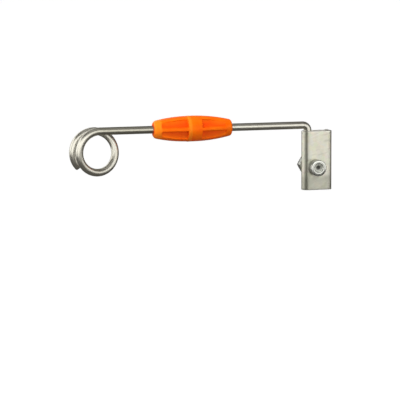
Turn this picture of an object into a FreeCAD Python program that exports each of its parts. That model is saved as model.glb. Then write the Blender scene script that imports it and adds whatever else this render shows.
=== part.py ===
"""Offset wire eye for a steel fence post: coil eye, moulded insulator, bent rear rod, folded sheet clamp, screw set.

Frame: the origin is on the clamp screw's axis, in the plane of the post's front face. +X runs towards the post's
edge that the clamp's lip hooks, +Y goes through the post to the nut, and +Z is up. The arm runs towards -X.
"""
import FreeCAD, Part
import math
import os

import Sketcher

# Driving dimensions in millimetres and degrees, written to the document's spreadsheet under these names.
DIMENSIONS = {
    # rods
    "rod_diameter": 6.0,
    "arm_height": 33.6,
    "swivel_clearance": 0.05,
    "anchor_radius": 4.2,
    "anchor_length": 3.0,
    "anchor_gap": 15.0,
    # coil eye
    "eye_centre": -174.7,
    "eye_radius": 16.15,
    "eye_pitch": 14.6,
    "eye_turn": 497.0,
    "eye_tilt": 4.0,
    # rear rod
    "leg_centre": -5.1,
    "leg_end": 6.5,
    "bend_radius": 4.45,
    "leg_chamfer": 0.6,
    # insulator, about its own centre
    "barrel_centre": -100.8,
    "barrel_length": 63.3,
    "left_end_radius": 7.15,
    "left_end_round": 2.2,
    "left_end_arc": 2.4,
    "left_arc": 117.0,
    "ridge_left": 4.7,
    "ridge_width": 2.3,
    "ridge_foot_radius": 10.0,
    "ridge_radius": 10.25,
    "ridge_slope": 0.4,
    "band_radius": 10.1,
    "right_arc": 130.0,
    "right_end_radius": 6.65,
    "right_end_round": 1.5,
    "right_end_arc": 1.6,
    # insulator pockets
    "core_half": 5.8,
    "rib_half": 1.3,
    "pocket_outer": 26.15,
    "left_pocket_inner": 5.1,
    "right_pocket_inner": 6.2,
    "pocket_low": 5.3,
    "pocket_high": 7.65,
    "pocket_arc": 120.0,
    # clamp
    "strap_thickness": 2.0,
    "clamp_top": 29.0,
    "clamp_bottom": 18.3,
    "rear_leaf_end": 11.5,
    "lip_face": 14.4,
    "lip_bend": 4.0,
    "post_thickness": 5.0,
    "corner_round": 1.2,
    # screw set
    "running_clearance": 0.08,
    "seat_gap": 0.05,
    "screw_radius": 4.0,
    "screw_length": 30.0,
    "screw_point": 0.8,
    "head_radius": 6.5,
    "head_length": 8.0,
    "head_chamfer": 0.7,
    "socket_width": 6.0,
    "socket_depth": 4.0,
    "washer_radius": 8.0,
    "washer_thickness": 1.6,
    "spring_radius": 7.4,
    "spring_thickness": 2.0,
    "slit_width": 0.9,
    "slit_lean": 0.45,
    "nut_width": 13.0,
    "nut_length": 6.8,
    "nut_corner_drop": 0.55,
}

SMALLEST_CUT = 0.5  # mm3: a cut that removes less than this has missed the solid


class Size:
    """A length with the sheet expression that gives it, so that a feature stays bound to the sheet."""

    def __init__(self, value, text):
        self.value = value
        self.text = text

    def __add__(self, other):
        other = as_size(other)
        return Size(self.value + other.value, f"({self.text} + {other.text})")

    def __sub__(self, other):
        other = as_size(other)
        return Size(self.value - other.value, f"({self.text} - {other.text})")

    def __mul__(self, factor):
        return Size(self.value * factor, f"({self.text} * {factor!r})")

    def __truediv__(self, divisor):
        return self * (1 / divisor)

    def __neg__(self):
        return self * -1


def as_size(number):
    """The number as a Size, if it isn't one already."""
    return number if isinstance(number, Size) else Size(float(number), repr(float(number)))


ZERO = as_size(0)


def fill_sheet(doc):
    """Write the driving dimensions to a spreadsheet and return them as sizes by name."""
    sheet = doc.addObject("Spreadsheet::Sheet", "dims")
    sizes = {}
    for row, (name, number) in enumerate(DIMENSIONS.items(), start=1):
        sheet.set(f"A{row}", name)
        sheet.set(f"B{row}", str(number))
        sheet.setAlias(f"B{row}", name)
        sizes[name] = Size(number, f"dims.{name}")
    doc.recompute()
    return sizes


def bind(thing, name, size):
    """Drive one property of a document object from the sheet."""
    thing.setExpression(name, as_size(size).text)


def place(thing, x, y, z):
    """Drive a document object's position from the sheet."""
    for axis, size in zip("xyz", (x, y, z)):
        bind(thing, f"Placement.Base.{axis}", size)


# --- bodies and sketches ---------------------------------------------------------------------------------------

def new_body(doc, name, x=ZERO, y=ZERO, z=ZERO):
    """An empty body with its own origin at the given place."""
    body = doc.addObject("PartDesign::Body", name)
    body.Label = name
    place(body, x, y, z)
    return body


def origin_plane(body, role):
    """One of the body's own origin planes."""
    return next(feature for feature in body.Origin.OriginFeatures if feature.Role == role)


def new_sketch(body, role, name, offset=None):
    """A sketch on one of the body's origin planes, moved along the plane's normal by offset."""
    sketch = body.newObject("Sketcher::SketchObject", name)
    sketch.AttachmentSupport = [(origin_plane(body, role), "")]
    sketch.MapMode = "FlatFace"
    if offset is not None:
        bind(sketch, "AttachmentOffset.Base.z", offset)
    return sketch


def constrain(sketch, name, size, *constraint):
    """Add one dimensional constraint and bind it to the sheet."""
    index = sketch.addConstraint(Sketcher.Constraint(*constraint, size.value))
    sketch.renameConstraint(index, name)
    bind(sketch, f"Constraints.{name}", size)


def fix_point(sketch, name, edge, end, point):
    """Fix one end of an edge at a point measured from the sketch's origin."""
    for kind, axis, size in (("DistanceX", -2, point[0]), ("DistanceY", -1, point[1])):
        if size is ZERO:
            sketch.addConstraint(Sketcher.Constraint("PointOnObject", edge, end, axis))
        else:
            constrain(sketch, name + kind[-1].lower(), size, kind, -1, 1, edge, end)


def arc_between(start, end, radius, side):
    """The arc from start to end whose centre is on the left (side 1) or the right (side -1) of the way there."""
    chord = end - start
    left = FreeCAD.Vector(-chord.y, chord.x, 0).normalize()
    reach = math.sqrt(max(radius**2 - (chord.Length / 2) ** 2, 0))
    centre = (start + end) / 2 + left * reach * side
    first, last = (start, end) if side > 0 else (end, start)
    angles = [math.atan2(point.y - centre.y, point.x - centre.x) for point in (first, last)]
    return Part.ArcOfCircle(Part.Circle(centre, FreeCAD.Vector(0, 0, 1), radius), *angles)


def draw_chain(sketch, name, corners, arcs, closed):
    """Draw lines and arcs from corner to corner, each corner fixed from the origin.

    arcs maps an edge's number to its radius and the side its centre is on.
    """
    points = [FreeCAD.Vector(x.value, y.value, 0) for x, y in corners]
    count = len(corners) if closed else len(corners) - 1
    ends = []
    for number in range(count):
        start, end = points[number], points[(number + 1) % len(points)]
        if number in arcs:
            radius, side = arcs[number]
            edge = sketch.addGeometry(arc_between(start, end, radius.value, side), False)
            constrain(sketch, f"{name}{number}r", radius, "Radius", edge)
            ends.append((edge, 1, 2) if side > 0 else (edge, 2, 1))
        else:
            edge = sketch.addGeometry(Part.LineSegment(start, end), False)
            ends.append((edge, 1, 2))
    for number in range(count if closed else count - 1):
        edge, _, last = ends[number]
        after, first, _ = ends[(number + 1) % count]
        sketch.addConstraint(Sketcher.Constraint("Coincident", edge, last, after, first))
    for number, (edge, first, _) in enumerate(ends):
        fix_point(sketch, f"{name}{number}", edge, first, corners[number])
    if not closed:
        edge, _, last = ends[-1]
        fix_point(sketch, f"{name}{count}", edge, last, corners[-1])


def draw_outline(sketch, name, corners, arcs=None):
    """A closed outline through the corners."""
    draw_chain(sketch, name, corners, arcs or {}, closed=True)


def draw_circle(sketch, name, radius):
    """A circle about the sketch's origin."""
    circle = Part.Circle(FreeCAD.Vector(0, 0, 0), FreeCAD.Vector(0, 0, 1), radius.value)
    edge = sketch.addGeometry(circle, False)
    sketch.addConstraint(Sketcher.Constraint("Coincident", edge, 3, -1, 1))
    constrain(sketch, name, radius, "Radius", edge)


def draw_hexagon(sketch, name, width):
    """A hexagon about the sketch's origin, width across its flats, with two flats parallel to the sketch's x."""
    corner = width / math.sqrt(3)
    points = []
    for step in range(6):
        angle = math.radians(60 * step)
        points.append((corner * math.cos(angle), corner * math.sin(angle) if step % 3 else ZERO))
    draw_outline(sketch, name, points)


# --- features --------------------------------------------------------------------------------------------------

def pad(body, sketch, length, reverse=False):
    """Extrude a sketch along its normal, or against it."""
    feature = body.newObject("PartDesign::Pad", sketch.Name + "_pad")
    feature.Profile = sketch
    bind(feature, "Length", length)
    feature.Reversed = reverse
    body.Document.recompute()
    return feature


def revolve(body, sketch, axis):
    """Turn a sketch once round one of its own axes."""
    feature = body.newObject("PartDesign::Revolution", sketch.Name + "_turned")
    feature.Profile = sketch
    feature.ReferenceAxis = (sketch, [axis])
    feature.Angle = 360
    body.Document.recompute()
    return feature


def checked_cut(body, feature):
    """Recompute a cut and make sure that it removed material."""
    before = feature.BaseFeature.Shape.Volume
    body.Document.recompute()
    removed = before - feature.Shape.Volume
    if removed < SMALLEST_CUT:
        raise RuntimeError(f"{feature.Name} removed {removed:.3f} mm3")
    return feature


def pocket(body, sketch, depth=None, reverse=False, both_ways=False):
    """Cut a sketch against its normal to a depth, or right through when no depth is given."""
    feature = body.newObject("PartDesign::Pocket", sketch.Name + "_cut")
    feature.Profile = sketch
    feature.Reversed = reverse
    if depth is None:
        feature.Type = "ThroughAll"
    else:
        bind(feature, "Length", depth)
    if both_ways:
        feature.SideType = "Symmetric"
    return checked_cut(body, feature)


def groove(body, sketch, axis):
    """Cut a sketch once round one of its own axes."""
    feature = body.newObject("PartDesign::Groove", sketch.Name + "_turned")
    feature.Profile = sketch
    feature.ReferenceAxis = (sketch, [axis])
    feature.Angle = 360
    return checked_cut(body, feature)


def mirror(body, cut, role):
    """Repeat a cut on the other side of one of the body's origin planes."""
    feature = body.newObject("PartDesign::Mirrored", cut.Name + "_mirrored")
    feature.Originals = [cut]
    feature.MirrorPlane = (origin_plane(body, role), [""])
    body.Tip = feature
    before = cut.Shape.Volume
    body.Document.recompute()
    if before - feature.Shape.Volume < SMALLEST_CUT:
        raise RuntimeError(f"{feature.Name} removed nothing")
    return feature


def dress(body, kind, size_name, size, base, wanted):
    """Fillet or chamfer the edges of the base that wanted() picks by their middle point."""
    body.Document.recompute()
    edges = [
        f"Edge{number}"
        for number, edge in enumerate(base.Shape.Edges, start=1)
        if wanted(edge, edge.valueAt((edge.FirstParameter + edge.LastParameter) / 2))
    ]
    feature = body.newObject(f"PartDesign::{kind}", f"{base.Name}_{kind.lower()}")
    feature.Base = (base, edges)
    bind(feature, size_name, size)
    body.Document.recompute()
    return feature


# --- the rods --------------------------------------------------------------------------------------------------

def rod_axis_depth(dims):
    """How far the rods' axis is in front of the post's face: the strap, the clearance and half a rod."""
    return dims["strap_thickness"] + dims["swivel_clearance"] + dims["rod_diameter"] / 2


def eye_frame(dims):
    """The coil's directions: the arm leaves the top of its first turn along +X, and its back turn hangs lower."""
    lead = math.atan2(dims["eye_pitch"].value, 2 * math.pi * dims["eye_radius"].value)
    across = FreeCAD.Vector(math.cos(lead), math.sin(lead), 0)
    along = FreeCAD.Vector(-math.sin(lead), math.cos(lead), 0)
    level = FreeCAD.Rotation(FreeCAD.Vector(0, 0, 1), across, along, "XZY")
    return FreeCAD.Rotation(FreeCAD.Vector(1, 0, 0), -dims["eye_tilt"].value).multiply(level)


def below_arm(dims):
    """How far in front of the arm and below it the coil's centre is, because the coil is tilted about the arm."""
    tilt = math.radians(dims["eye_tilt"].value)
    radius = dims["eye_radius"].value
    front = Size(radius * math.sin(tilt), "(dims.eye_radius * sin(dims.eye_tilt * 1 deg))")
    drop = Size(radius * math.cos(tilt), "(dims.eye_radius * cos(dims.eye_tilt * 1 deg))")
    return front, drop


def bar_along_x(doc, name, radius, length, x, y, z):
    """A round bar with its axis along +X, from x onwards."""
    bar = doc.addObject("Part::Cylinder", name)
    bind(bar, "Radius", radius)
    bind(bar, "Height", length)
    bar.Placement.Rotation = FreeCAD.Rotation(FreeCAD.Vector(0, 1, 0), 90)
    place(bar, x, y, z)
    return bar


def make_eye_rod(doc, dims):
    """The front rod: the coil eye, the straight arm and the upset head that anchors it in the insulator."""
    depth = -rod_axis_depth(dims)
    height = dims["arm_height"]

    path = doc.addObject("Part::Helix", "eye_path")
    bind(path, "Radius", dims["eye_radius"])
    bind(path, "Pitch", dims["eye_pitch"])
    path.setExpression("Height", "dims.eye_pitch * dims.eye_turn / 360")
    path.LocalCoord = "Left-handed"
    path.Placement.Rotation = eye_frame(dims)
    front, drop = below_arm(dims)
    place(path, dims["eye_centre"], depth - front, height - drop)

    section = doc.addObject("Part::Circle", "eye_section")
    bind(section, "Radius", dims["rod_diameter"] / 2)
    section.Placement.Rotation = FreeCAD.Rotation(FreeCAD.Vector(0, 1, 0), 90)
    place(section, dims["eye_centre"], depth, height)
    doc.recompute()

    coil = doc.addObject("Part::Sweep", "eye_coil")
    coil.Sections = [section]
    coil.Spine = (path, [f"Edge{number + 1}" for number in range(len(path.Shape.Edges))])
    coil.Solid = True
    coil.Frenet = True

    arm_end = dims["barrel_centre"] - dims["anchor_gap"] / 2
    arm = bar_along_x(
        doc, "eye_arm", dims["rod_diameter"] / 2, arm_end - dims["eye_centre"], dims["eye_centre"], depth, height
    )
    anchor_start = arm_end - dims["anchor_length"]
    anchor = bar_along_x(
        doc, "eye_anchor", dims["anchor_radius"], dims["anchor_length"], anchor_start, depth, height
    )

    rod = doc.addObject("Part::MultiFuse", "eye_rod")
    rod.Label = "eye_rod"
    rod.Shapes = [coil, arm, anchor]
    rod.Refine = True
    return rod


def make_rear_rod(doc, dims):
    """The rear rod: an anchored straight, one tight bend and the leg that the clamp wraps."""
    body = new_body(doc, "rear_rod", dims["leg_centre"], -rod_axis_depth(dims), dims["arm_height"])
    start = dims["barrel_centre"] + dims["anchor_gap"] / 2 - dims["leg_centre"]
    bend = dims["bend_radius"]
    foot = dims["leg_end"] - dims["arm_height"]

    path = new_sketch(body, "XZ_Plane", "rear_rod_path")
    corners = [(start, ZERO), (-bend, ZERO), (ZERO, -bend), (ZERO, foot)]
    draw_chain(path, "bend", corners, {1: (bend, -1)}, closed=False)
    section = new_sketch(body, "YZ_Plane", "rear_rod_section", start)
    draw_circle(section, "radius", dims["rod_diameter"] / 2)

    pipe = body.newObject("PartDesign::AdditivePipe", "rear_rod_pipe")
    pipe.Profile = section
    pipe.Spine = (path, ["Edge1", "Edge2", "Edge3"])
    doc.recompute()

    anchor = new_sketch(body, "YZ_Plane", "rear_rod_anchor", start)
    draw_circle(anchor, "radius", dims["anchor_radius"])
    headed = pad(body, anchor, dims["anchor_length"])

    def is_foot(edge, middle):
        # the body's Shape is in the row's frame, but its features are in the body's own
        return edge.BoundBox.ZLength < 0.01 and abs(middle.z - foot.value) < 0.01

    dress(body, "Chamfer", "Size", dims["leg_chamfer"], headed, is_foot)
    return body


# --- the insulator ---------------------------------------------------------------------------------------------

def barrel_outline(dims):
    """Half of the barrel's lengthwise section, with the room for both rod ends, as corners and arcs."""
    half = dims["barrel_length"] / 2
    rod = dims["rod_diameter"] / 2
    left_round, right_round = dims["left_end_round"], dims["right_end_round"]
    left_radius, right_radius = dims["left_end_radius"], dims["right_end_radius"]
    ridge_left = -dims["ridge_left"]
    ridge_right = ridge_left + dims["ridge_width"]
    anchor_near = dims["anchor_gap"] / 2
    anchor_far = anchor_near + dims["anchor_length"]
    corners = [
        (-half, rod),
        (-half, left_radius - left_round),
        (left_round - half, left_radius),
        (ridge_left, dims["ridge_foot_radius"]),
        (ridge_left + dims["ridge_slope"], dims["ridge_radius"]),
        (ridge_right - dims["ridge_slope"], dims["ridge_radius"]),
        (ridge_right, dims["band_radius"]),
        (half - right_round, right_radius),
        (half, right_radius - right_round),
        (half, rod),
        (anchor_far, rod),
        (anchor_far, dims["anchor_radius"]),
        (anchor_near, dims["anchor_radius"]),
        (anchor_near, ZERO),
        (-anchor_near, ZERO),
        (-anchor_near, dims["anchor_radius"]),
        (-anchor_far, dims["anchor_radius"]),
        (-anchor_far, rod),
    ]
    arcs = {
        1: (dims["left_end_arc"], -1),
        2: (dims["left_arc"], -1),
        6: (dims["right_arc"], -1),
        7: (dims["right_end_arc"], -1),
    }
    return corners, arcs


def pocket_outline(dims, side, up):
    """One pocket seen from the front: straight along the rib, and curved beside the rim of the barrel."""
    inner = dims["left_pocket_inner"] if side < 0 else dims["right_pocket_inner"]
    outer = dims["pocket_outer"]
    corners = [
        (inner * side, dims["rib_half"] * up),
        (outer * side, dims["rib_half"] * up),
        (outer * side, dims["pocket_low"] * up),
        (inner * side, dims["pocket_high"] * up),
    ]
    return corners, {2: (dims["pocket_arc"], side * up)}


def make_insulator(doc, dims):
    """The moulding: a barrel with a raised ring, and four open pockets on the front and four on the back."""
    body = new_body(doc, "insulator_body", dims["barrel_centre"], -rod_axis_depth(dims), dims["arm_height"])
    outline = new_sketch(body, "XZ_Plane", "barrel_section")
    draw_outline(outline, "barrel", *barrel_outline(dims))
    revolve(body, outline, "H_Axis")

    fronts = new_sketch(body, "XZ_Plane", "pocket_fronts", dims["core_half"])
    for side, up, name in ((-1, 1, "leftup"), (-1, -1, "leftlow"), (1, 1, "rightup"), (1, -1, "rightlow")):
        draw_outline(fronts, name, *pocket_outline(dims, side, up))
    cut = pocket(body, fronts, reverse=True)
    mirror(body, cut, "XZ_Plane")
    return body


# --- the clamp -------------------------------------------------------------------------------------------------

def strap_outline(dims):
    """The folded strap from above: rear leaf, fold round the leg, front leaf, bend and lip."""
    thick = dims["strap_thickness"]
    inner = dims["rod_diameter"] / 2 + dims["swivel_clearance"]
    outer = inner + thick
    depth = -rod_axis_depth(dims)
    leg = dims["leg_centre"]
    front = depth - outer
    lip, bend = dims["lip_face"], dims["lip_bend"]
    corners = [
        (dims["rear_leaf_end"], ZERO),
        (leg, ZERO),
        (leg - outer, depth),
        (leg, front),
        (lip - bend, front),
        (lip, front + bend),
        (lip, dims["post_thickness"]),
        (lip - thick, dims["post_thickness"]),
        (lip - thick, front + bend),
        (lip - bend, front + thick),
        (leg, depth - inner),
        (leg - inner, depth),
        (leg, depth + inner),
        (dims["rear_leaf_end"], depth + inner),
    ]
    arcs = {
        1: (outer, 1),
        2: (outer, 1),
        4: (bend, 1),
        8: (bend - thick, -1),
        10: (inner, -1),
        11: (inner, -1),
    }
    return corners, arcs


def make_clamp(doc, dims):
    """The clamp: one folded strip with the screw's hole through both leaves and rounded free corners."""
    body = new_body(doc, "clamp_strap")
    outline = new_sketch(body, "XY_Plane", "strap_section", -dims["clamp_bottom"])
    draw_outline(outline, "strap", *strap_outline(dims))
    pad(body, outline, dims["clamp_top"] + dims["clamp_bottom"])

    hole = new_sketch(body, "XZ_Plane", "screw_hole")
    draw_circle(hole, "radius", dims["screw_radius"] + dims["running_clearance"])
    holed = pocket(body, hole, both_ways=True)

    def is_free_corner(edge, middle):
        # the short edges at the top and bottom of the rear leaf's end and of the lip's end
        at_end = abs(middle.z - dims["clamp_top"].value) < 0.01 or abs(middle.z + dims["clamp_bottom"].value) < 0.01
        rear = abs(middle.x - dims["rear_leaf_end"].value) < 0.01
        lip = abs(middle.y - dims["post_thickness"].value) < 0.01
        return at_end and edge.BoundBox.ZLength < 0.01 and (rear or lip)

    dress(body, "Fillet", "Radius", dims["corner_round"], holed, is_free_corner)
    return body


# --- the screw set ---------------------------------------------------------------------------------------------

def screw_seat(dims):
    """The Y of the plane that the screw's head bears on, just clear of the front leaf."""
    return -(rod_axis_depth(dims) * 2 + dims["seat_gap"])


def make_screw(doc, dims):
    """The socket head cap screw, its head towards -Y."""
    body = new_body(doc, "cap_screw", y=screw_seat(dims))
    head, shank = dims["head_radius"], dims["screw_radius"]
    top, chamfer = -dims["head_length"], dims["head_chamfer"]
    tip, point = dims["screw_length"], dims["screw_point"]
    outline = new_sketch(body, "XY_Plane", "screw_section")
    draw_outline(outline, "screw", [
        (ZERO, top),
        (head - chamfer, top),
        (head, top + chamfer),
        (head, ZERO),
        (shank, ZERO),
        (shank, tip - point),
        (shank - point, tip),
        (ZERO, tip),
    ])
    revolve(body, outline, "V_Axis")
    socket = new_sketch(body, "XZ_Plane", "screw_socket", -top)
    draw_hexagon(socket, "socket", dims["socket_width"])
    pocket(body, socket, dims["socket_depth"])
    return body


def make_ring(doc, dims, name, radius, thickness, y):
    """A flat ring on the screw, from y towards the nut."""
    body = new_body(doc, name, y=y)
    bore = dims["screw_radius"] + dims["running_clearance"]
    outline = new_sketch(body, "XY_Plane", name + "_section")
    draw_outline(outline, "ring", [(bore, ZERO), (radius, ZERO), (radius, thickness), (bore, thickness)])
    revolve(body, outline, "V_Axis")
    return body


def make_washers(doc, dims):
    """The flat washer behind the post and the split spring washer behind that."""
    flat_y = dims["post_thickness"] + dims["seat_gap"]
    flat = make_ring(doc, dims, "flat_washer", dims["washer_radius"], dims["washer_thickness"], flat_y)

    spring_y = flat_y + dims["washer_thickness"] + dims["seat_gap"]
    thick = dims["spring_thickness"]
    spring = make_ring(doc, dims, "spring_washer", dims["spring_radius"], thick, spring_y)
    slit = new_sketch(spring, "YZ_Plane", "spring_slit")
    half, lean = dims["slit_width"] / 2, dims["slit_lean"]
    beyond = dims["seat_gap"]
    draw_outline(slit, "slit", [
        (-beyond, -half - lean),
        (thick + beyond, lean - half),
        (thick + beyond, lean + half),
        (-beyond, half - lean),
    ])
    pocket(spring, slit, reverse=True)
    return flat, spring


def make_nut(doc, dims):
    """The hexagon nut, with its corners turned off at both ends."""
    nut_y = (
        dims["post_thickness"] + dims["washer_thickness"] + dims["spring_thickness"] + dims["seat_gap"] * 3
    )
    body = new_body(doc, "hex_nut", y=nut_y)
    length = dims["nut_length"]
    hexagon = new_sketch(body, "XZ_Plane", "nut_hexagon")
    draw_hexagon(hexagon, "hexagon", dims["nut_width"])
    pad(body, hexagon, length, reverse=True)

    flat = dims["nut_width"] / 2
    beyond = dims["nut_width"] / math.sqrt(3) + dims["seat_gap"]
    drop = dims["nut_corner_drop"]
    bore = dims["screw_radius"] + dims["running_clearance"]
    turned = new_sketch(body, "XY_Plane", "nut_turning")
    draw_outline(turned, "front", [(flat, ZERO), (beyond, ZERO), (beyond, drop)])
    draw_outline(turned, "back", [(flat, length), (beyond, length - drop), (beyond, length)])
    groove(body, turned, "V_Axis")

    hole = new_sketch(body, "XZ_Plane", "nut_bore")
    draw_circle(hole, "radius", bore)
    pocket(body, hole, both_ways=True)
    return body


# --- the document ----------------------------------------------------------------------------------------------

def check(doc, pieces):
    """Stop if any object failed to compute, or if any piece isn't one valid solid."""
    for thing in doc.Objects:
        if "Invalid" in thing.State or "Error" in thing.State:
            raise RuntimeError(f"{thing.Name} failed: {thing.State}")
    for piece in pieces:
        shape = piece.Shape
        if shape.isNull() or not shape.isValid() or len(shape.Solids) != 1:
            raise RuntimeError(f"{piece.Label} isn't one valid solid")


def main():
    """Build every piece, check the document and write one file for each piece."""
    doc = FreeCAD.newDocument("offset_eye")
    dims = fill_sheet(doc)
    pieces = [
        make_eye_rod(doc, dims),
        make_insulator(doc, dims),
        make_rear_rod(doc, dims),
        make_clamp(doc, dims),
        make_screw(doc, dims),
        *make_washers(doc, dims),
        make_nut(doc, dims),
    ]
    doc.recompute()
    check(doc, pieces)
    os.makedirs("parts", exist_ok=True)
    for piece in pieces:
        piece.Shape.exportStep(f"parts/{piece.Label}.step")
        box = piece.Shape.BoundBox
        low = f"{box.XMin:.2f} {box.YMin:.2f} {box.ZMin:.2f}"
        high = f"{box.XMax:.2f} {box.YMax:.2f} {box.ZMax:.2f}"
        print(f"{piece.Label}: {piece.Shape.Volume:.1f} mm3, {low} to {high}")


main()
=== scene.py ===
"""The looks of the offset wire eye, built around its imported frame.

Metres, +Z up. -Y is the front, where the screw's head is; the arm runs towards -X.
"""
import math

import bmesh
import bpy
import numpy as np
from mathutils import Matrix, Vector
from mathutils.geometry import delaunay_2d_cdt


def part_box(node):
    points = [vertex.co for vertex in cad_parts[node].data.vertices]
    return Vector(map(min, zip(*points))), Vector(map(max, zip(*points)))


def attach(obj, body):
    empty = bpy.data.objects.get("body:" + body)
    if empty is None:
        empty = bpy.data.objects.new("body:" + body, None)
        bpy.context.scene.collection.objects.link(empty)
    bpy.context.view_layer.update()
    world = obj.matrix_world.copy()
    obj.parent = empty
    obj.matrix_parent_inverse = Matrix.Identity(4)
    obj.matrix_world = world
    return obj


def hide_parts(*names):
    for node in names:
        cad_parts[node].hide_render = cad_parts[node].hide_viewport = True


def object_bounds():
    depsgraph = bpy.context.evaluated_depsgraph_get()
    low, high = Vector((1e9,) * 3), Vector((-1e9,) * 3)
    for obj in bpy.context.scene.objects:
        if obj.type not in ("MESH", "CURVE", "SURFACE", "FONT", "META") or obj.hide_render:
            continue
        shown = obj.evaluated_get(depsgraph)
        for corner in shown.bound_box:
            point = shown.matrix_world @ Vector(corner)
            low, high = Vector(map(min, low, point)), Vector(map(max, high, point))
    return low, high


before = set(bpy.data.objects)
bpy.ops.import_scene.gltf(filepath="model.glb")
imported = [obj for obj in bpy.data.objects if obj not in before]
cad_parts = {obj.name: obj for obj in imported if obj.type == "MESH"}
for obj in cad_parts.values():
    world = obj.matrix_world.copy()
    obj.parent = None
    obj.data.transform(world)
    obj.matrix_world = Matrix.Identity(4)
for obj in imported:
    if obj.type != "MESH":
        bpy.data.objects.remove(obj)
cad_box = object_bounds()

TURN = 2 * math.pi

# Places that the frame gives.
BARREL_LOW, BARREL_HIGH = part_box("insulator_body")
BARREL_CENTRE = (BARREL_LOW + BARREL_HIGH) / 2
REAR_LOW, REAR_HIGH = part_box("rear_rod")
EYE_LOW, EYE_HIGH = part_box("eye_rod")
CLAMP_LOW, CLAMP_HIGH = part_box("clamp_strap")
SCREW_LOW, SCREW_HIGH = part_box("cap_screw")
ARM_Y, ARM_Z = BARREL_CENTRE.y, BARREL_CENTRE.z

# Sizes of the pieces, in metres.
ROD_RADIUS = 0.003
ROD_STEP = 0.0006
EYE_END_ROUNDING = 0.0002
REAR_END_ROUNDING = 0.0005
ANCHOR_RADIUS = 0.0042
ANCHOR_LENGTH = 0.003
ANCHOR_GAP = 0.015
EYE_RADIUS = 0.01615
EYE_PITCH = 0.0146
EYE_TURN = math.radians(497)
EYE_TILT = math.radians(4)
BEND_RADIUS = 0.00445
STRAP_THICKNESS = 0.002
SCREW_RADIUS = 0.004
HEAD_RADIUS = 0.0065
HEAD_LENGTH = 0.008
THREAD_PITCH = 0.00125
CORE_HALF = 0.0058

# Lengths over which the looks change, in metres.
CUT_FADE = 0.0008
# The next two set the painted shade on the front rod's arm: the length it fades over, and how far it reaches
# into the coil.
ARM_SHADE_FADE = 0.016
ARM_SHADE_INTO_COIL = 0.014
# Depth below the barrel's skin over which the painted shade in the pockets grows.
RECESS_SHADE_FADE = 0.003


# --- mesh helpers ----------------------------------------------------------------------------------------

def unit(vectors):
    """Each row of an array at length one."""
    return vectors / np.linalg.norm(vectors, axis=-1, keepdims=True)


def new_piece(name, points, faces, body, material, replaced=()):
    """A smooth closed mesh that rides on a body and stands for the CAD nodes named."""
    mesh = bpy.data.meshes.new(name)
    mesh.from_pydata(np.asarray(points).tolist(), [], [list(face) for face in faces])
    piece = bpy.data.objects.new(name, mesh)
    bpy.context.scene.collection.objects.link(piece)
    edit = bmesh.new()
    edit.from_mesh(mesh)
    bmesh.ops.recalc_face_normals(edit, faces=edit.faces)
    edit.to_mesh(mesh)
    edit.free()
    mesh.polygons.foreach_set("use_smooth", [True] * len(mesh.polygons))
    mesh.set_sharp_from_angle(angle=math.radians(38))
    mesh.materials.append(material)
    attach(piece, body)
    if replaced:
        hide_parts(*replaced)
    return piece


def skin(rings, wrap=False):
    """Points and faces of a surface through rings of points. wrap joins the last ring to the first."""
    rings = np.asarray(rings)
    count, sides = rings.shape[:2]
    index = np.arange(count * sides).reshape(count, sides)
    first, second = (index, np.roll(index, -1, 0)) if wrap else (index[:-1], index[1:])
    quads = np.stack([first, second, np.roll(second, -1, 1), np.roll(first, -1, 1)], -1)
    faces = quads.reshape(-1, 4).tolist()
    if not wrap:
        faces += [index[0].tolist(), index[-1].tolist()]
    return rings.reshape(-1, 3), faces


def mark(piece, name, values):
    """Store one number for each point of a piece, for its material to read."""
    attribute = piece.data.attributes.new(name, "FLOAT", "POINT")
    attribute.data.foreach_set("value", np.asarray(values, np.float32))


# --- rods ------------------------------------------------------------------------------------------------

def eye_directions():
    """The coil's directions: across and up its turns, and along its axis, which leans down at the back."""
    lead = math.atan2(EYE_PITCH, TURN * EYE_RADIUS)
    tilt = Matrix.Rotation(-EYE_TILT, 3, "X")
    across = tilt @ Vector((math.cos(lead), math.sin(lead), 0))
    along = tilt @ Vector((-math.sin(lead), math.cos(lead), 0))
    up = tilt @ Vector((0, 0, 1))
    return np.array(across), np.array(up), np.array(along)


def coil_points(angle):
    """The coil's centreline from its top, which is at the origin, for an array of angles."""
    across, up, along = eye_directions()
    turned = angle[:, None] + math.pi / 2
    round_part = EYE_RADIUS * (np.cos(turned) * across + (np.sin(turned) - 1) * up)
    return round_part + EYE_PITCH * angle[:, None] / TURN * along


def eye_top_x():
    """Where the arm meets the coil, so that the coil's leftmost point lies where the frame's does."""
    lowest = coil_points(np.linspace(0, EYE_TURN, 2000))[:, 0].min() - ROD_RADIUS
    return EYE_LOW.x - lowest


def eye_straight():
    """The length of the front rod's straight arm, from its end inside the insulator to the coil."""
    return BARREL_CENTRE.x - ANCHOR_GAP / 2 - eye_top_x()


def eye_path(distance):
    """The front rod's centreline, for an array of distances from its end inside the insulator."""
    top_x, straight = eye_top_x(), eye_straight()
    angle = np.clip(distance - straight, 0, None) / math.hypot(EYE_RADIUS, EYE_PITCH / TURN)
    points = coil_points(angle) + np.array([top_x, ARM_Y, ARM_Z])
    points[:, 0] += straight - np.clip(distance, None, straight)
    return points


def eye_length():
    """The front rod's length along its centreline."""
    return eye_straight() + EYE_TURN * math.hypot(EYE_RADIUS, EYE_PITCH / TURN)


def rear_path(distance):
    """The rear rod's centreline, for an array of distances from its end inside the insulator."""
    start_x = BARREL_CENTRE.x + ANCHOR_GAP / 2
    leg_x = REAR_HIGH.x - ROD_RADIUS
    straight = leg_x - BEND_RADIUS - start_x
    angle = np.clip((distance - straight) / BEND_RADIUS, 0, math.pi / 2)
    down = np.clip(distance - straight - BEND_RADIUS * math.pi / 2, 0, None)
    x = start_x + np.clip(distance, None, straight) + BEND_RADIUS * np.sin(angle)
    z = ARM_Z - BEND_RADIUS * (1 - np.cos(angle)) - down
    return np.stack([x, np.full_like(x, ARM_Y), z], -1)


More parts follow.
